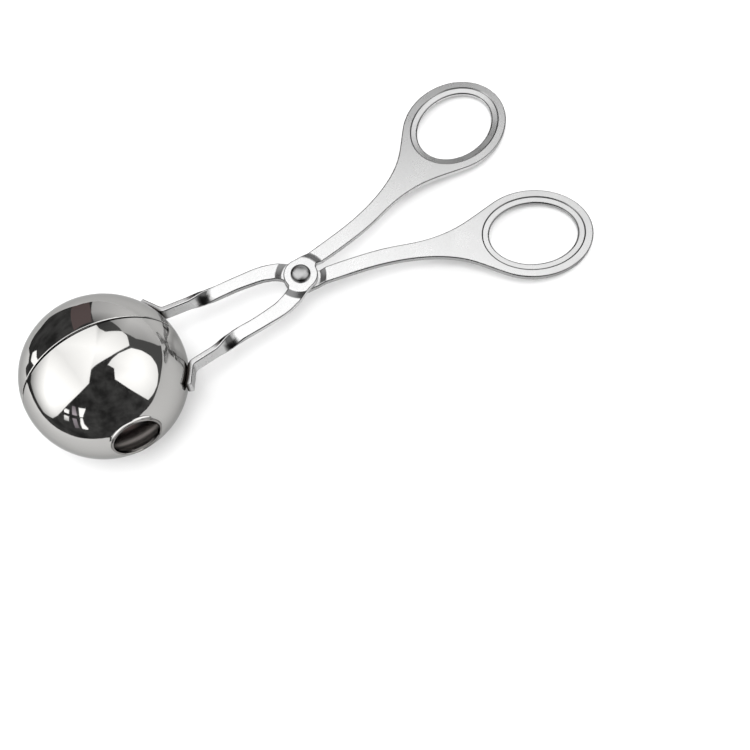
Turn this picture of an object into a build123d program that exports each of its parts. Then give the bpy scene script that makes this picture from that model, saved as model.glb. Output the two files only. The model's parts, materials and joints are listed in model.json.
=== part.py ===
from build123d import *
from math import asin, atan, cos, hypot, radians, sin, sqrt
import os

# Meatball tongs: two stamped steel arms cross at a domed rivet, and each arm carries half of a ball.
# Sizes are in millimetres. The tongs lie on a table at z = 0, with the ball at -X and the finger
# loops at +X.

# Overall sizes
ball_diameter = 50.8
bowl_reach = 68.4  # from the rivet to the middle of the ball
loop_reach = 73.2  # from the rivet to the middle of a finger loop, along the tongs
loop_spread = 24.3  # from the middle line to the middle of a finger loop

# Bowls
bowl_wall = 0.7
seam_gap = 0.2  # between the two rims when the tongs are shut
rim_round = 0.3
pole_hole_radius = 7.2  # bore of the hole at each pole, drawn outwards into a collar
collar_rise = 0.7  # from the ball's surface to where the collar's lip starts to round over
collar_foot = 0.8  # hollow radius at the foot of the collar, outside
collar_root = 0.6  # rounded edge where the hole starts, inside
seam_tilt = 10.0  # degrees that the seam leans away from the rivet's axis

# Arms
sheet = 2.0
strap_width = 5.2
jaw_width = 4.6
edge_round = 0.45
boss_radius = 5.5
boss_gap = 0.1  # between the two bosses
joggle_start = 6.2  # the raised boss slopes down between these two radii
joggle_end = 8.4
joggle_round = 1.2
notch_round = 1.2  # inside corner between a strap and the boss
overrun = 1.0  # how far cutting shapes pass through what they cut
level = 0.3  # a face whose normal rises less than this share is a side wall
upright = 0.7  # an edge that rises more than this share is upright
nearness = 0.1  # a corner this near the boss's edge counts as on it

# Finger loops
finger_length = 29.4
finger_width = 22.4
lip_width = 2.2  # coined lip round the finger hole
rim_width = 2.8  # flat ring outside the lip
loop_turn = 19.3  # degrees that the long axis of a loop turns outwards
coin_step = 0.2  # the lip starts this far below the flat ring
crease_width = 0.6  # pressed line between the flat ring and the lip
crease_depth = 0.25
nose_height = 1.3  # rounded inner edge of the lip
nose_drop = 0.1  # the middle of that edge lies this far below mid-sheet
nose_round = 0.55

# Jaw straps and weld tabs
jaw_spread = 8.2  # from the middle line to the strap, where its twist starts
twist_start = 25.0  # from the rivet
twist_length = 11.0
twist_drift = 1.4  # how much further out the strap is after the twist
jaw_flare = 3.0  # degrees that the strap leans outwards where the twist starts
contact_angle = 30.5  # degrees round the ball, from the side of the rivet to the weld
tab_length = 3.5  # from the bend to the weld
tab_overhang = 4.2  # past the weld
tab_bend_radius = 2.5
tip_round = 0.25
weld_depth = 0.1  # the tab is dished this deep by the ball

# Rivet
shank_radius = 2.0
running_clearance = 0.05
head_radius = 3.2
head_rim = 0.2  # straight side of the head, under its dome
head_height = 1.5
tail_radius = 3.0
tail_rim = 0.25
tail_height = 1.0

# Places along the handle strap, from the rivet to the loop: along as a share of loop_reach, across as
# a share of loop_spread, and width as a share of strap_width.
handle_shares = [
    (0.135, 0.165, 1.04),
    (0.270, 0.235, 1.08),
    (0.406, 0.337, 1.15),
    (0.541, 0.486, 1.35),
    (0.676, 0.662, 2.42),
]

# Places along the jaw strap, from the rivet to the twist: along as a share of twist_start, across as a
# share of jaw_spread, and width as a share of jaw_width.
jaw_shares = [(0.40, 0.820, 1.20), (0.60, 0.915, 1.08), (0.80, 0.972, 1.01)]

# Angles round a loop at which the two edges of the strap join it, from its long axis
outer_join = 124.0
inner_join = -122.0

# Angle round the boss at which the outer edge of the jaw strap leaves it
jaw_leave = 70.0

# How far along its twist the strap is at each section
twist_shares = [0, 0.1, 0.25, 0.4, 0.5, 0.6, 0.75, 0.9, 1]

# Sizes worked out from those above
ball_radius = ball_diameter / 2
half_sheet = sheet / 2
boss_lift = half_sheet + boss_gap / 2
hole_x = finger_length / 2
hole_y = finger_width / 2
lip_x = hole_x + lip_width
lip_y = hole_y + lip_width
loop_x = lip_x + rim_width
loop_y = lip_y + rim_width
tilt = radians(seam_tilt)
through = 3 * sheet  # deeper than an arm is thick, boss included


# A bowl stands with its pole up and the ball's middle at the origin.
rim_z = seam_gap / 2
bowl_inside = ball_radius - bowl_wall
outer_rim = (sqrt(ball_radius**2 - rim_z**2), rim_z)
inner_rim = (sqrt(bowl_inside**2 - rim_z**2), rim_z)
collar_radius = pole_hole_radius + bowl_wall
foot = (collar_radius, sqrt(ball_radius**2 - collar_radius**2))
root = (pole_hole_radius, sqrt(bowl_inside**2 - pole_hole_radius**2))
lip_z = foot[1] + collar_rise
lip_top = (pole_hole_radius + bowl_wall / 2, lip_z + bowl_wall / 2)

with BuildPart() as bowl:
    with BuildSketch(Plane.XZ) as bowl_section:
        with BuildLine():
            RadiusArc(outer_rim, foot, -ball_radius)
            Line(foot, (collar_radius, lip_z))
            ThreePointArc((collar_radius, lip_z), lip_top, (pole_hole_radius, lip_z))
            Line((pole_hole_radius, lip_z), root)
            RadiusArc(root, inner_rim, bowl_inside)
            Line(inner_rim, outer_rim)
        make_face()
        fillet(bowl_section.vertices().sort_by_distance(Vector(*foot))[0], radius=collar_foot)
        fillet(bowl_section.vertices().sort_by_distance(Vector(*root))[0], radius=collar_root)
    revolve(axis=Axis.Z)
    fillet(bowl.faces().sort_by(Axis.Z)[0].edges(), radius=rim_round)


# The outline of an arm lies flat, with the rivet at the origin and its finger loop at +Y.
def strap_edge(shares, along, across, width, side):
    return [(x * along, y * across + side * w * width / 2) for x, y, w in shares]


handle_outer = strap_edge(handle_shares, loop_reach, loop_spread, strap_width, 1)
handle_inner = strap_edge(handle_shares, loop_reach, loop_spread, strap_width, -1)
jaw_outer = strap_edge(jaw_shares, -twist_start, -jaw_spread, jaw_width, -1)
jaw_inner = strap_edge(jaw_shares, -twist_start, -jaw_spread, jaw_width, 1)

flare = radians(jaw_flare)
twist_heading = Vector(-cos(flare), -sin(flare))
twist_side = Vector(sin(flare), -cos(flare))
twist_origin = Vector(-twist_start, -jaw_spread)
twist_outer = twist_origin + twist_side * (jaw_width / 2)
twist_inner = twist_origin - twist_side * (jaw_width / 2)
leave = radians(jaw_leave)
leave_point = (boss_radius * cos(leave), -boss_radius * sin(leave))
leave_heading = (-sin(leave), -cos(leave))
loop_middle = (loop_reach, loop_spread)

# Beyond its twist a jaw strap lies on edge. Its middle line is drawn on a plane that leans with the seam.
twist_end = (-twist_start - twist_length, -jaw_spread - twist_drift)
contact = radians(contact_angle)
contact_reach = ball_radius + half_sheet - weld_depth
tab_contact = Vector(contact_reach * cos(contact) - bowl_reach, -contact_reach * sin(contact))
tab_heading = Vector(-sin(contact), -cos(contact))
tab_bend = tab_contact - tab_heading * tab_length
tab_tip = tab_contact + tab_heading * tab_overhang
strap_plane = Plane(
    origin=(0, twist_end[1] * sin(tilt) ** 2, twist_end[1] * sin(tilt) * cos(tilt)),
    x_dir=(1, 0, 0),
    z_dir=(0, sin(tilt), cos(tilt)),
)
with BuildLine(strap_plane) as tab_line:
    FilletPolyline(
        (twist_end[0], twist_end[1] * cos(tilt)),
        (tab_bend.X, tab_bend.Y),
        (tab_tip.X, tab_tip.Y),
        radius=tab_bend_radius,
    )
strap_heading = tab_line.line % 0
with BuildLine() as twist_line:
    Spline(twist_origin, tab_line.line @ 0, tangents=[twist_heading, strap_heading])
full_turn = radians(Vector(0, 0, 1).cross(strap_heading).get_angle(strap_plane.z_dir * -1))

with BuildPart() as stamping:
    # The sheet is raised round the rivet, so that the two arms lie in one plane beyond their bosses.
    with BuildSketch(Plane.XZ) as sheet_section:
        far = hypot(loop_reach, loop_spread) + loop_x + overrun
        with BuildLine():
            Polyline(
                (0, boss_lift - half_sheet),
                (joggle_start, boss_lift - half_sheet),
                (joggle_end, -half_sheet),
                (far, -half_sheet),
                (far, half_sheet),
                (joggle_end, half_sheet),
                (joggle_start, boss_lift + half_sheet),
                (0, boss_lift + half_sheet),
                close=True,
            )
        make_face()
        creases = sheet_section.vertices().filter_by_position(Axis.X, joggle_start, joggle_end)
        fillet(creases, radius=joggle_round)
    revolve(axis=Axis.Z)

    with BuildSketch(Plane.XY.offset(-sheet)) as outline:
        Circle(boss_radius)
        with BuildLine():
            loop_arc = EllipticalCenterArc(
                loop_middle,
                loop_x,
                loop_y,
                start_angle=inner_join,
                arc_size=outer_join - inner_join,
                rotation=loop_turn,
            )
            handle_root = Line((0, 0), handle_inner[0])
            Spline(handle_inner + [loop_arc @ 0], tangents=[handle_root % 1, loop_arc % 0])
            Spline([(0, boss_radius)] + handle_outer + [loop_arc @ 1], tangents=[(1, 0), -(loop_arc % 1)])
            Line((0, boss_radius), (0, 0))
        make_face()
        with BuildLine():
            jaw_root = Line((0, 0), jaw_inner[0])
            Spline(jaw_inner + [twist_inner], tangents=[jaw_root % 1, twist_heading])
            Line(twist_inner, twist_outer)
            Spline([leave_point] + jaw_outer + [twist_outer], tangents=[leave_heading, twist_heading])
            Line(leave_point, (0, 0))
        make_face()
        corners = outline.vertices().filter_by(lambda v: abs(Vector(*v).length - boss_radius) < nearness)
        notches = corners.filter_by(lambda v: abs(v.Y) < boss_radius / 2)
        fillet(notches, radius=notch_round)
        with Locations(loop_middle):
            Ellipse(hole_x, hole_y, rotation=loop_turn, mode=Mode.SUBTRACT)
    extrude(amount=through, mode=Mode.INTERSECT)

    # The lip round the finger hole is coined from both faces to a rounded edge below mid-sheet.
    for face_side, nose_side in ((1, nose_height / 2), (-1, -nose_height / 2)):
        with BuildSketch(Plane.XY.offset(face_side * (half_sheet - coin_step))) as lip_outline:
            with Locations(loop_middle):
                Ellipse(lip_x, lip_y, rotation=loop_turn)
        with BuildSketch(Plane.XY.offset(nose_side - nose_drop)):
            with Locations(loop_middle):
                Ellipse(hole_x, hole_y, rotation=loop_turn)
        loft(ruled=True, mode=Mode.SUBTRACT)
        extrude(lip_outline.sketch, amount=face_side * sheet, mode=Mode.SUBTRACT)
        crease_path = lip_outline.sketch.edges()[0]
        crease_plane = Plane(crease_path @ 0, x_dir=(0, 0, -face_side), z_dir=crease_path % 0)
        with BuildSketch(crease_plane):
            with BuildLine():
                Polyline(
                    (-coin_step, -crease_width / 2),
                    (-coin_step, crease_width / 2),
                    (crease_depth, 0),
                    close=True,
                )
            make_face()
        sweep(path=crease_path, mode=Mode.SUBTRACT)

    walls = stamping.faces().filter_by(lambda f: abs(f.normal_at().Z) < level)
    nose = walls.sort_by(lambda f: (f.center() - Vector(*loop_middle, -nose_drop)).length)[0]
    sides = walls.filter_by(lambda f: f.bounding_box().size.Z > half_sheet) - [nose]
    side_edges = (sides - [sides.sort_by(Axis.X)[0]]).edges()
    fillet(side_edges.filter_by(lambda e: abs((e % 0.5).Z) < upright), radius=edge_round)
    fillet(nose.edges(), radius=nose_round)

    # The strap twists on edge, with its upper face turned outwards.
    for share in twist_shares:
        along = twist_line.line % share
        outwards = Vector(0, 0, 1).cross(along).normalized()
        turn = full_turn * share**2 * (3 - 2 * share)
        across = outwards * cos(turn) + outwards.cross(along) * sin(turn)
        with BuildSketch(Plane(twist_line.line @ share, x_dir=across, z_dir=along)) as strap_section:
            RectangleRounded(jaw_width, sheet, edge_round)
    loft()
    add(strap_section.sketch)
    sweep(path=tab_line.line)
    tip = stamping.faces().sort_by_distance(tab_line.line @ 1)[0]
    fillet(tip.edges(), radius=tip_round)
    with Locations((-bowl_reach, 0, 0)):
        Sphere(ball_radius, mode=Mode.SUBTRACT)

# The tongs rest on the ball and on the ends of both finger loops, which sets how far they lean.
loop_end = loop_reach + hypot(loop_x * cos(radians(loop_turn)), loop_y * sin(radians(loop_turn)))
rest_length = bowl_reach + loop_end - edge_round
rest_drop = half_sheet - edge_round
lean = asin((ball_radius - edge_round) / hypot(rest_length, rest_drop)) - atan(rest_drop / rest_length)
pivot_height = ball_radius - bowl_reach * sin(lean)
ball_end = bowl_reach * cos(lean) + ball_radius
handle_end = (loop_end - edge_round) * cos(lean) + rest_drop * sin(lean) + edge_round
pivot = ((ball_end - handle_end) / 2, 0, pivot_height)
handles_down = (cos(lean), 0, -sin(lean))
lying = Plane(pivot, x_dir=handles_down, z_dir=(sin(lean), 0, cos(lean)))
turned_over = Plane(pivot, x_dir=handles_down, z_dir=(-sin(lean), 0, -cos(lean)))
bowl_seat = Location((-bowl_reach, 0, 0), (90 - seam_tilt, 0, 0))

with BuildPart(lying) as top_arm:
    add(stamping.part)
    Cylinder(shank_radius + running_clearance, through, mode=Mode.SUBTRACT)
top_arm.part.label = "top_arm"

with BuildPart(turned_over) as bottom_arm:
    add(stamping.part)
    Cylinder(shank_radius, through, mode=Mode.SUBTRACT)
bottom_arm.part.label = "bottom_arm"

with BuildPart(Plane(lying.location * bowl_seat)) as top_arm_bowl:
    add(bowl.part)
top_arm_bowl.part.label = "top_arm_bowl"

with BuildPart(Plane(turned_over.location * bowl_seat)) as bottom_arm_bowl:
    add(bowl.part)
bottom_arm_bowl.part.label = "bottom_arm_bowl"

# The rivet is fast in the bottom arm, and the top arm turns on it.
boss_top = boss_lift + half_sheet
head_base = boss_top + running_clearance
tail_dome = tail_height - tail_rim
tail_curve = (tail_radius**2 + tail_dome**2) / (2 * tail_dome)
with BuildPart() as rivet:
    with BuildSketch(Plane.XZ):
        with BuildLine():
            Line((0, -boss_top - tail_height), (0, head_base + head_height))
            EllipticalCenterArc(
                (0, head_base + head_rim),
                head_radius,
                head_height - head_rim,
                start_angle=90,
                arc_size=-90,
            )
            Polyline(
                (head_radius, head_base + head_rim),
                (head_radius, head_base),
                (shank_radius, head_base),
                (shank_radius, -boss_top),
                (tail_radius, -boss_top),
                (tail_radius, -boss_top - tail_rim),
            )
            RadiusArc((tail_radius, -boss_top - tail_rim), (0, -boss_top - tail_height), tail_curve)
        make_face()
    revolve(axis=Axis.Z)

with BuildPart(lying) as pivot_rivet:
    add(rivet.part)
pivot_rivet.part.label = "pivot_rivet"

os.makedirs("parts", exist_ok=True)
for piece in (top_arm, bottom_arm, top_arm_bowl, bottom_arm_bowl, pivot_rivet):
    export_step(piece.part, f"parts/{piece.part.label}.step")
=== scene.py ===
import bpy
import json
from math import radians, sin, cos
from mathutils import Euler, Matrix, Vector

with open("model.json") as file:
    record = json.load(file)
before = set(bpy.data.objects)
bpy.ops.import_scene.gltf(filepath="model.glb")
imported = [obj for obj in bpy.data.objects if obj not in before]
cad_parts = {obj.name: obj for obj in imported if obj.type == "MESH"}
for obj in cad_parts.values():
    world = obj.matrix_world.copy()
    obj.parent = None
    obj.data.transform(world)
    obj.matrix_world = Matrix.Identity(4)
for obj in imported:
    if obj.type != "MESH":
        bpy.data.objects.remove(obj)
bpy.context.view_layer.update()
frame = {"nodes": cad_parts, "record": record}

nodes = frame["nodes"]
scene = bpy.context.scene
mm = 0.001
bpy.ops.object.select_all(action="DESELECT")
print("tongs loaded:", sorted(nodes))


def linear(hexColour):
    # sRGB hex to the linear colour that Blender's sockets take
    values = [int(hexColour[i:i + 2], 16) / 255 for i in (1, 3, 5)]
    return [v / 12.92 if v <= 0.04045 else ((v + 0.055) / 1.055) ** 2.4 for v in values] + [1.0]


def addNode(tree, kind, settings=None, numbered=None, **named):
    # settings are the node's own options. Its sockets, by number or by name, each take another node's
    # output or a value.
    node = tree.nodes.new(kind)
    for key, value in (settings or {}).items():
        setattr(node, key, value)
    feeds = dict(numbered or {})
    feeds.update((key.replace("_", " "), feed) for key, feed in named.items())
    for key, feed in feeds.items():
        if isinstance(feed, bpy.types.NodeSocket):
            tree.links.new(feed, node.inputs[key])
        else:
            node.inputs[key].default_value = feed
    return node


def newMaterial(name):
    material = bpy.data.materials.new(name)
    material.use_nodes = True
    material.node_tree.nodes.clear()
    return material, material.node_tree


def wear(piece, material):
    piece.data.materials.clear()
    piece.data.materials.append(material)


hinge = frame["record"]["behaviour"]["joints"][0]
mounts = {mount["name"]: mount for mount in frame["record"]["mounts"]}
topPole, bottomPole = mounts["top_pole_hole"], mounts["bottom_pole_hole"]
faceNormal = Vector(hinge["axis"]).normalized()  # square to the flat faces of both arms, along the rivet
ballMiddle = (Vector(topPole["pos_m"]) + Vector(bottomPole["pos_m"])) / 2
ballRadius = ballMiddle.z  # it lies on the table
seamAxis = Vector(topPole["axis"])  # from the ball's middle to the pole of the top arm's bowl
wallSlope = (48, 65)  # degrees off the flat faces between which a rounded edge passes into a side wall


def slopeMasks(tree, place, edgeSlope):
    # the first is 1 on rounded edges, creases and bends, from edgeSlope up, the second on side walls alone
    along = addNode(tree, "ShaderNodeVectorMath", {"operation": "DOT_PRODUCT"},
                    {0: place.outputs["Normal"], 1: faceNormal})
    cosine = addNode(tree, "ShaderNodeMath", {"operation": "ABSOLUTE"}, {0: along.outputs["Value"]})
    fromFace = addNode(tree, "ShaderNodeMapRange", Value=cosine.outputs[0],
                       From_Min=cos(radians(edgeSlope[0])), From_Max=cos(radians(edgeSlope[1])))
    fromWall = addNode(tree, "ShaderNodeMapRange", Value=cosine.outputs[0],
                       From_Min=cos(radians(wallSlope[1])), From_Max=cos(radians(wallSlope[0])))
    edge = addNode(tree, "ShaderNodeMath", {"operation": "MULTIPLY"},
                   {0: fromFace.outputs["Result"], 1: fromWall.outputs["Result"]})
    wall = addNode(tree, "ShaderNodeMath", {"operation": "SUBTRACT"}, {0: 1, 1: fromWall.outputs["Result"]})
    return edge.outputs[0], wall.outputs[0]


def fromBall(tree, place):
    # the way from the ball's middle, and how far that is
    spoke = addNode(tree, "ShaderNodeVectorMath", {"operation": "SUBTRACT"},
                    {0: place.outputs["Object"], 1: ballMiddle})
    reach = addNode(tree, "ShaderNodeVectorMath", {"operation": "LENGTH"}, {0: spoke.outputs["Vector"]})
    return spoke.outputs["Vector"], reach.outputs["Value"]


def layColours(tree, ground, layers):
    # each layer is a mask and a colour, which covers what is under it as far as the mask is 1
    colour = linear(ground)
    for mask, cover in layers:
        laid = addNode(tree, "ShaderNodeMix", {"data_type": "RGBA"},
                       {0: mask, 6: colour, 7: linear(cover)})  # its colour sockets are 6 and 7
        colour = laid.outputs[2]
    return colour


# Austenitic stainless sheet, blanked and then tumbled: an even satin with a fine pitted grain, drawn a
# little coarse so that it shows. Painted shade darkens the finger loops and the rounded edges and bends;
# the side walls short of the twists are painted bright on the top arm and dark on the bottom arm, as light
# and shade; and the tabs are darker where they come near the ball.
satin = {
    "colour": "#CECECE",
    "shade": "#C4C4C4",  # in the pits
    # painted shade: the finger loops are darker than the straps
    "loopShadeColour": "#B8B8B8",
    "loopShade": (20 * mm, 85 * mm),  # it sets in between these places along the tongs
    # painted shade on rounded edges, creases and bends
    "slopeShadeColour": "#484848",
    "slopeShadeAngles": (10, 28),  # degrees off the flat faces
    # painted light and shade on the side walls: bright on the top arm, dark on the bottom arm
    "wallLightShadeColour": {"top_arm": "#F2F2F2", "bottom_arm": "#BABABA"},
    "wallLightShade": (-24 * mm, -14 * mm),  # behind the twists, past which flat faces stand where walls would be
    # darker where the arm comes near the ball
    "nearBallColour": "#2E2A28",
    "nearBallReach": (0.8 * mm, 1.6 * mm),  # off the ball
    "edgeTint": "#BEBEBE",
    "roughness": (0.25, 0.31),
    "grainSize": 0.4 * mm,
    "grainNoise": {"Detail": 3, "Roughness": 0.6},
    "grainSpread": (0.35, 0.6),
    "cloudSize": 7 * mm,
    "cloudNoise": {"Detail": 4, "Roughness": 0.55},
    "cloudSpread": (0.3, 0.7),
    "bump": 0.07,
    "bumpDepth": 0.05 * mm,
}


def satinSteel(arm):
    material, tree = newMaterial("tumbledStainless." + arm)
    place = addNode(tree, "ShaderNodeTexCoord")
    grain = addNode(tree, "ShaderNodeTexNoise", Vector=place.outputs["Object"],
                    Scale=1 / satin["grainSize"], **satin["grainNoise"])
    cloud = addNode(tree, "ShaderNodeTexNoise", Vector=place.outputs["Object"],
                    Scale=1 / satin["cloudSize"], **satin["cloudNoise"])
    rough = addNode(tree, "ShaderNodeMapRange", Value=cloud.outputs["Fac"],
                    From_Min=satin["cloudSpread"][0], From_Max=satin["cloudSpread"][1],
                    To_Min=satin["roughness"][0], To_Max=satin["roughness"][1])
    pits = addNode(tree, "ShaderNodeMapRange", Value=grain.outputs["Fac"],
                   From_Min=satin["grainSpread"][0], From_Max=satin["grainSpread"][1])
    parts = addNode(tree, "ShaderNodeSeparateXYZ", Vector=place.outputs["Object"])
    # painted shade, darkening the tongs towards the finger loops
    loopShade = addNode(tree, "ShaderNodeMapRange", Value=parts.outputs["X"],
                      From_Min=satin["loopShade"][0], From_Max=satin["loopShade"][1])
    # painted shade where a face turns away from the flat
    slopeShade, wall = slopeMasks(tree, place, satin["slopeShadeAngles"])
    # painted light and shade on the side walls, short of the twists
    behind = addNode(tree, "ShaderNodeMapRange", Value=parts.outputs["X"],
                     From_Min=satin["wallLightShade"][0], From_Max=satin["wallLightShade"][1])
    wallLightShade = addNode(tree, "ShaderNodeMath", {"operation": "MULTIPLY"},
                      {0: wall, 1: behind.outputs["Result"]})
    # darker close to the ball
    nearBall = addNode(tree, "ShaderNodeMapRange", Value=fromBall(tree, place)[1],
                   From_Min=ballRadius + satin["nearBallReach"][1], From_Max=ballRadius + satin["nearBallReach"][0])
    colour = layColours(tree, satin["shade"], [
        (pits.outputs["Result"], satin["colour"]),
        (loopShade.outputs["Result"], satin["loopShadeColour"]),
        (wallLightShade.outputs[0], satin["wallLightShadeColour"][arm]),
        (slopeShade, satin["slopeShadeColour"]),
        (nearBall.outputs["Result"], satin["nearBallColour"])])
    bump = addNode(tree, "ShaderNodeBump", Height=grain.outputs["Fac"],
                   Strength=satin["bump"], Distance=satin["bumpDepth"])
    steel = addNode(tree, "ShaderNodeBsdfPrincipled", Base_Color=colour, Metallic=1.0,
                    Roughness=rough.outputs["Result"], Specular_Tint=linear(satin["edgeTint"]),
                    Normal=bump.outputs["Normal"])
    addNode(tree, "ShaderNodeOutputMaterial", Surface=steel.outputs["BSDF"])
    return material


# The same stainless, deep drawn. Outside it is buffed to a mirror, with a faint ripple left from the draw.
# The inside is duller, as drawn. The collar's crest is painted darker, as shade, and a dark line of painted
# shade runs along the seam.
mirror = {
    "colour": "#BCBBB9",
    "edgeTint": "#C8C8C8",
    "roughness": 0.05,
    "rippleSize": 9 * mm,
    "rippleNoise": {"Detail": 1, "Roughness": 0.4},
    "ripple": 0.35,
    "rippleDepth": 0.1 * mm,
    "insideReach": (-0.4 * mm, -0.3 * mm),  # off the ball: in the thickness of its wall
    "insideColour": "#A9A6A4",
    "insideRoughness": 0.14,
    # painted shade on the collar's crest
    "crestShadeReach": (0.4 * mm, 0.7 * mm),
    "crestShadeColour": "#8E8C8A",
    # painted shade along the seam
    "seamShadeColour": "#2A2A2A",
    "seamShadeMiddle": 0.36 * mm,  # from the ball's middle along the seam's axis
    "seamShadeHalfWidth": 0.28 * mm,
}


def mirrorSteel():
    material, tree = newMaterial("buffedStainless")
    place = addNode(tree, "ShaderNodeTexCoord")
    ripple = addNode(tree, "ShaderNodeTexNoise", Vector=place.outputs["Object"],
                     Scale=1 / mirror["rippleSize"], **mirror["rippleNoise"])
    bump = addNode(tree, "ShaderNodeBump", Height=ripple.outputs["Fac"],
                   Strength=mirror["ripple"], Distance=mirror["rippleDepth"])
    spoke, reach = fromBall(tree, place)
    outside = addNode(tree, "ShaderNodeMapRange", Value=reach,
                      From_Min=ballRadius + mirror["insideReach"][0],
                      From_Max=ballRadius + mirror["insideReach"][1])
    rough = addNode(tree, "ShaderNodeMapRange", Value=outside.outputs["Result"],
                    To_Min=mirror["insideRoughness"], To_Max=mirror["roughness"])
    # painted shade on the collar's crest
    crestShade = addNode(tree, "ShaderNodeMapRange", Value=reach,
                    From_Min=ballRadius + mirror["crestShadeReach"][0],
                    From_Max=ballRadius + mirror["crestShadeReach"][1])
    # painted shade in a band along the seam
    height = addNode(tree, "ShaderNodeVectorMath", {"operation": "DOT_PRODUCT"}, {0: spoke, 1: seamAxis})
    seamShade = addNode(tree, "ShaderNodeMath", {"operation": "COMPARE"},
                  {0: height.outputs["Value"], 1: mirror["seamShadeMiddle"], 2: mirror["seamShadeHalfWidth"]})
    colour = layColours(tree, mirror["insideColour"], [
        (outside.outputs["Result"], mirror["colour"]),
        (crestShade.outputs["Result"], mirror["crestShadeColour"]),
        (seamShade.outputs[0], mirror["seamShadeColour"])])
    steel = addNode(tree, "ShaderNodeBsdfPrincipled", Base_Color=colour, Metallic=1.0,
                    Roughness=rough.outputs["Result"], Specular_Tint=linear(mirror["edgeTint"]),
                    Normal=bump.outputs["Normal"])
    addNode(tree, "ShaderNodeOutputMaterial", Surface=steel.outputs["BSDF"])
    return material


# A cold-headed stainless rivet, tumbled with its arms: smoother than they are, with painted shade where its
# dome falls away.
headed = {
    "colour": "#A0A0A0",
    # painted shade where the dome falls away
    "slopeShadeColour": "#424242",
    "slopeShadeAngles": (20, 34),
    "edgeTint": "#B8B8B8",
    "roughness": (0.26, 0.34),
    "cloudSize": 1.5 * mm,
    "cloudNoise": {"Detail": 3, "Roughness": 0.5},
    "cloudSpread": (0.3, 0.7),
}


def headedSteel():
    material, tree = newMaterial("headedStainless")
    place = addNode(tree, "ShaderNodeTexCoord")
    cloud = addNode(tree, "ShaderNodeTexNoise", Vector=place.outputs["Object"],
                    Scale=1 / headed["cloudSize"], **headed["cloudNoise"])
    rough = addNode(tree, "ShaderNodeMapRange", Value=cloud.outputs["Fac"],
                    From_Min=headed["cloudSpread"][0], From_Max=headed["cloudSpread"][1],
                    To_Min=headed["roughness"][0], To_Max=headed["roughness"][1])
    # painted shade where the dome falls away
    slopeShade = slopeMasks(tree, place, headed["slopeShadeAngles"])[0]
    colour = layColours(tree, headed["colour"], [(slopeShade, headed["slopeShadeColour"])])
    steel = addNode(tree, "ShaderNodeBsdfPrincipled", Base_Color=colour, Metallic=1.0,
                    Roughness=rough.outputs["Result"], Specular_Tint=linear(headed["edgeTint"]))
    addNode(tree, "ShaderNodeOutputMaterial", Surface=steel.outputs["BSDF"])
    return material


bowlSteel = mirrorSteel()
for name in ("top_arm", "bottom_arm"):
    wear(nodes[name], satinSteel(name))
for name in ("top_arm_bowl", "bottom_arm_bowl"):
    wear(nodes[name], bowlSteel)
wear(nodes["pivot_rivet"], headedSteel())
print("steel made")


studio = {
    "white": 1.0,  # the strength that shows as white
    "floorSize": 6,  # metres, as are the sizes and places below
    "floorColour": "#D2D2D2",
    "floorLift": (0.26, 0.26),
    "tableColour": "#BEBEBE",
    "tableLift": (0.38, 0.0),
    "tableGap": 0.05 * mm,  # it lies just above the floor
    "liftReach": (-0.3, 0.1),  # where a lift has its left and its right value
    "liftAway": (0.15, 0.6),  # how far out it starts to turn white, and ends
    "worldLight": 0.04,  # for rays that are not seen; seen ones meet plain white
    "overheadPower": 3.6,
    "overheadSize": 0.3,
    "overheadPlace": (0.02, -0.2, 0.8),
    "roomRadius": 1.6,
    "roomSegments": 64,
    "roomRings": 32,
    "roomShapes": 0.4,  # how large its lighter and darker places are
    "roomNoise": {"Detail": 3, "Roughness": 0.6},
    "roomSpread": (0.35, 0.65),
    "roomDark": (0.03, 0.09),
    "roomPale": 0.12,
    "roomPaleReach": (0.5, 1.1),  # where the room's right side turns pale
    "panelDistance": 0.9,
}


def towards(zenith, azimuth):
    z, a = radians(zenith), radians(azimuth)
    return Vector((sin(z) * cos(a), sin(z) * sin(a), cos(z)))


def seenRays(tree):
    # 1 for what the camera sees, directly, in a mirror or through glass
    path = addNode(tree, "ShaderNodeLightPath")
    first = addNode(tree, "ShaderNodeMath", {"operation": "MAXIMUM"},
                    {0: path.outputs["Is Camera Ray"], 1: path.outputs["Is Glossy Ray"]})
    second = addNode(tree, "ShaderNodeMath", {"operation": "MAXIMUM"},
                     {0: first.outputs[0], 1: path.outputs["Is Transmission Ray"]})
    return second.outputs[0]


def palePaper(name, colour, lifts):
    # lifts are what the paper gives off of its own, for seen rays alone, at its left and at its right. Far
    # from the object, where the boxes no longer reach, it turns plain white.
    material, tree = newMaterial(name)
    matt = addNode(tree, "ShaderNodeBsdfDiffuse", Color=linear(colour))
    place = addNode(tree, "ShaderNodeTexCoord")
    parts = addNode(tree, "ShaderNodeSeparateXYZ", Vector=place.outputs["Object"])
    level = addNode(tree, "ShaderNodeMapRange", Value=parts.outputs["X"],
                    From_Min=studio["liftReach"][0], From_Max=studio["liftReach"][1],
                    To_Min=lifts[0], To_Max=lifts[1])
    away = addNode(tree, "ShaderNodeVectorMath", {"operation": "LENGTH"}, {0: place.outputs["Object"]})
    spread = addNode(tree, "ShaderNodeMapRange", Value=away.outputs["Value"],
                     From_Min=studio["liftAway"][0], From_Max=studio["liftAway"][1],
                     To_Min=level.outputs["Result"], To_Max=studio["white"])
    lift = addNode(tree, "ShaderNodeMath", {"operation": "MULTIPLY"},
                   {0: seenRays(tree), 1: spread.outputs["Result"]})
    glow = addNode(tree, "ShaderNodeEmission", Strength=lift.outputs[0])
    both = addNode(tree, "ShaderNodeAddShader", numbered={0: matt.outputs[0], 1: glow.outputs[0]})
    addNode(tree, "ShaderNodeOutputMaterial", Surface=both.outputs[0])
    return material


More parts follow.
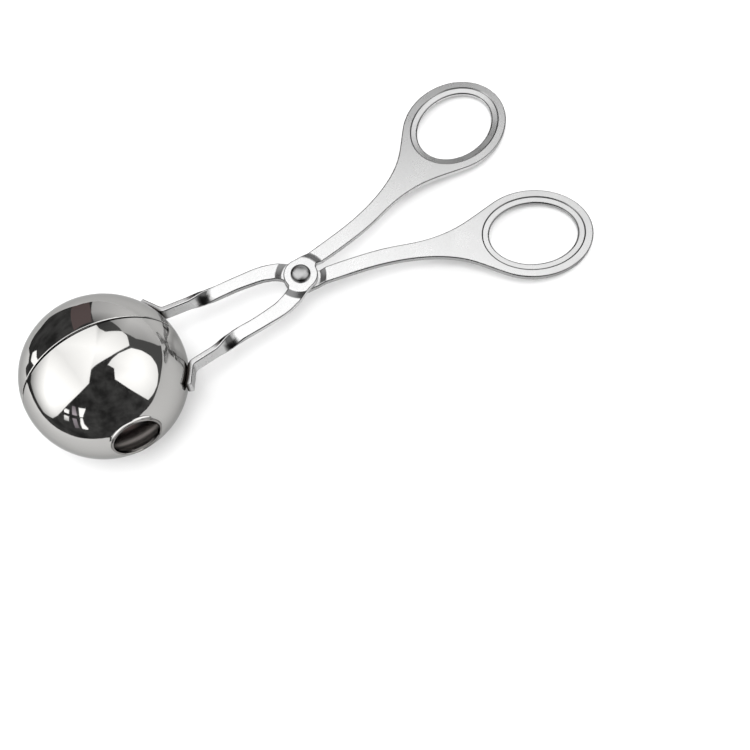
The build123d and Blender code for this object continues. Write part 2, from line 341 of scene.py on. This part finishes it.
def makeFloor():
    bpy.ops.mesh.primitive_plane_add(size=studio["floorSize"], location=(0, 0, 0))
    floor = bpy.context.object
    floor.name = "studioFloor"
    wear(floor, palePaper("palePaper", studio["floorColour"], studio["floorLift"]))
    floor.visible_glossy = False


# The table top as the steel mirrors it: it ends where the ball shows its edge, at these degrees from
# straight up and round from +X.
tableCorners = [
    (97, 78), (96, 86), (98, 94), (101, 104), (99.5, 112), (100.5, 120), (99.5, 126), (95.5, 130),
    (94.5, 136), (98, 139), (97, 146), (96.5, 152), (96, 159), (96.5, 167), (97.5, 174), (98.5, 184),
    (99.5, 193), (100, 202), (101, 213), (101.5, 224), (102, 237), (102, 250), (97, 262), (96, 275),
    (98, 290), (98, 302), (96.5, 318), (96, 335), (97, 350), (98, 2), (96, 20), (95, 40), (96, 58),
    (98, 72)]


def makeTable():
    bpy.ops.mesh.primitive_circle_add(vertices=len(tableCorners), radius=1, fill_type="NGON")
    table = bpy.context.object
    table.name = "tableTop"
    for vertex, corner in zip(table.data.vertices, tableCorners):
        ray = towards(*corner)
        vertex.co = ballMiddle + ray * (ballMiddle.z / -ray.z) + Vector((0, 0, studio["tableGap"]))
    wear(table, palePaper("paleTable", studio["tableColour"], studio["tableLift"]))
    table.visible_camera = False
    table.visible_diffuse = False
    table.visible_shadow = False


def makeWorld():
    world = bpy.data.worlds.new("paleRoom")
    scene.world = world
    world.use_nodes = True
    tree = world.node_tree
    tree.nodes.clear()
    strength = addNode(tree, "ShaderNodeMapRange", Value=seenRays(tree),
                       To_Min=studio["worldLight"], To_Max=studio["white"])
    sky = addNode(tree, "ShaderNodeBackground", Color=linear("#FFFFFF"), Strength=strength.outputs["Result"])
    addNode(tree, "ShaderNodeOutputWorld", Surface=sky.outputs[0])


def makeRoom():
    # the dim room that the mirror-bright bowls show between the soft boxes
    bpy.ops.mesh.primitive_uv_sphere_add(segments=studio["roomSegments"], ring_count=studio["roomRings"],
                                         radius=studio["roomRadius"], location=(0, 0, 0))
    room = bpy.context.object
    room.name = "studioRoom"
    material, tree = newMaterial("dimRoom")
    place = addNode(tree, "ShaderNodeTexCoord")
    parts = addNode(tree, "ShaderNodeSeparateXYZ", Vector=place.outputs["Object"])
    shapes = addNode(tree, "ShaderNodeTexNoise", Vector=place.outputs["Object"],
                     Scale=1 / studio["roomShapes"], **studio["roomNoise"])
    dark = addNode(tree, "ShaderNodeMapRange", Value=shapes.outputs["Fac"],
                   From_Min=studio["roomSpread"][0], From_Max=studio["roomSpread"][1],
                   To_Min=studio["roomDark"][0], To_Max=studio["roomDark"][1])
    side = addNode(tree, "ShaderNodeMapRange", Value=parts.outputs["X"],
                   From_Min=studio["roomPaleReach"][0], From_Max=studio["roomPaleReach"][1],
                   To_Min=dark.outputs["Result"], To_Max=studio["roomPale"])
    glow = addNode(tree, "ShaderNodeEmission", Strength=side.outputs["Result"])
    addNode(tree, "ShaderNodeOutputMaterial", Surface=glow.outputs[0])
    wear(room, material)
    room.visible_camera = False
    room.visible_diffuse = False
    room.visible_shadow = False


# Soft boxes, windows and walls as the ball shows them. The brightness of the middle stands first, and a
# corner is (degrees from straight up, degrees round from +X, brightness).
panels = {
    "leftBox": (2.6, [
        (92.5, 150, 0.45), (93, 157, 0.6), (94, 163, 0.7), (95, 170, 0.75), (97, 176, 0.8),
        (95.5, -179, 0.9), (93.5, -173, 1.1), (84, -167, 1.5), (75, -163, 1.65), (66, -159, 1.8),
        (58, -155, 1.9), (42, -143, 1.9), (32, -131, 1.75), (22, 180, 1.65), (37, 132, 1.6),
        (55, 120, 1.5)]),
    "topBox": (2.1, [
        (55, 120, 1.65), (54, 62, 1.5), (48, 54, 1.1), (46, 43, 1.5), (60, 27, 1.5), (61, 19, 1.5),
        (56, 3, 1.65), (39, -3, 1.9), (28, -10, 1.9), (9, -61, 1.65), (12, -118, 1.6), (27, -121, 1.65),
        (32, -131, 1.75), (22, 180, 1.65), (37, 132, 1.6)]),
    "rightBox": (2.25, [
        (29, -19, 1.65), (39, -7, 1.75), (57, -1, 1.9), (70, -6, 1.9), (82, -12, 1.75), (90, -20, 1.65),
        (94, -29, 1.6), (97, -41, 1.6), (97, -52, 1.5), (95, -60, 1.5), (79, -61, 1.75), (63, -62, 1.9),
        (40, -63, 1.9), (33, -42, 1.65), (24, -37, 1.5)]),
    "paleStrip": (2.0, [
        (91, 129, 2), (84, 128, 2), (80, 134, 2), (74, 138, 2), (81, 141, 2), (91, 135.5, 2),
        (91.7, 131, 1.8)]),
    "paleWall": (1.0, [
        (105, 78, 0.75), (132, 51, 0.85), (135, 31, 0.85), (117, 7, 0.8), (97, 3, 0.7), (83, 6, 0.6),
        (69, 11, 0.6), (62, 22, 0.65), (60, 26, 0.65), (62, 33, 0.65), (64, 44, 0.55), (62, 55, 0.32),
        (60, 66, 0.25), (77, 72, 0.65)]),
    "brownWall": (0.17, [
        (102, 90, 0.17), (104, 80, 0.17), (80, 73, 0.17), (60, 68, 0.17), (53, 90, 0.17)]),
    "paneOne": (2.0, [
        (71, -160.5, 1.9), (68, -158.5, 1.6), (68.5, -154, 1.6), (73.5, -154, 2), (74, -160, 2)]),
    "paneTwo": (1.3, [(78, -159.5, 1.9), (77.5, -154, 1.8), (84.5, -154, 0.7), (85.5, -159.5, 0.6)]),
    "paneThree": (0.6, [(61, -151, 0.4), (60.5, -146.5, 0.35), (73, -144, 0.9), (73, -150, 0.9)]),
    "paneFour": (0.5, [(78, -150, 0.6), (77.5, -145, 0.5), (91, -144, 0.3), (92, -148.5, 0.3)]),
    "paneFive": (2.1, [
        (61, -141.5, 1.9), (61, -131.5, 1.9), (68.5, -135, 2), (73.5, -137, 2), (74, -141, 2)]),
    "paneSix": (2.1, [
        (75.5, -140.5, 1.8), (75, -137.5, 1.8), (83.5, -137.5, 2), (90.5, -134.5, 2), (92.5, -136, 1.9),
        (91, -141, 1.9), (84, -141.5, 1.9)]),
}
wallColour = {"brownWall": "#FFE2E2", "paneThree": "#F6EAF4", "paneFour": "#F6EAF4"}


def makePanel(name, middleGlow, corners):
    reach = studio["panelDistance"]
    bpy.ops.mesh.primitive_circle_add(vertices=len(corners), radius=1, fill_type="TRIFAN")
    panel = bpy.context.object
    panel.name = name
    edges = panel.data.edges
    hub = max(panel.data.vertices, key=lambda v: len([e for e in edges if v.index in e.vertices]))
    rim = [v for v in panel.data.vertices if v != hub]
    heading = sum((towards(*c[:2]) for c in corners), Vector()).normalized()
    glows = panel.data.attributes.new("glow", "FLOAT", "POINT")
    hub.co = ballMiddle + heading * reach
    glows.data[hub.index].value = middleGlow
    for vertex, corner in zip(rim, corners):
        vertex.co = ballMiddle + towards(*corner[:2]) * reach
        glows.data[vertex.index].value = corner[2]
    material, tree = newMaterial(name + "Glow")
    level = addNode(tree, "ShaderNodeAttribute", {"attribute_name": "glow"})
    glow = addNode(tree, "ShaderNodeEmission", Color=linear(wallColour.get(name, "#FFFFFF")),
                   Strength=level.outputs["Fac"])
    addNode(tree, "ShaderNodeOutputMaterial", Surface=glow.outputs[0])
    wear(panel, material)
    panel.visible_camera = False


def makeOverhead():
    # the box high over the near side gives the shadows their edge; the steel shows the panels, not this
    data = bpy.data.lights.new("overheadBox", "AREA")
    data.shape = "DISK"
    data.size = studio["overheadSize"]
    data.energy = studio["overheadPower"]
    overhead = bpy.data.objects.new("overheadBox", data)
    scene.collection.objects.link(overhead)
    overhead.location = studio["overheadPlace"]
    overhead.visible_glossy = False
    overhead.visible_camera = False


makeFloor()
makeTable()
makeOverhead()
makeWorld()
makeRoom()
for name, (middleGlow, corners) in panels.items():
    makePanel(name, middleGlow, corners)
print("studio made")


# Fitted to the ball's outline, the seam and the finger loops as they show in the photograph.
camera = {
    "location": (-15.821 * mm, -146.373 * mm, 318.139 * mm),
    "turn": (18.1825, 6.9081, -30.7314),  # degrees
    "lens": 50.255,
    "sensor": 36.0,
    "clipStart": 0.01,
}
cameraData = bpy.data.cameras.new("photoCamera")
cameraData.lens = camera["lens"]
cameraData.sensor_width = camera["sensor"]
cameraData.clip_start = camera["clipStart"]
photoCamera = bpy.data.objects.new("photoCamera", cameraData)
scene.collection.objects.link(photoCamera)
photoCamera.location = camera["location"]
photoCamera.rotation_euler = Euler([radians(v) for v in camera["turn"]])
scene.camera = photoCamera
scene.view_settings.view_transform = "Standard"
print("camera set")
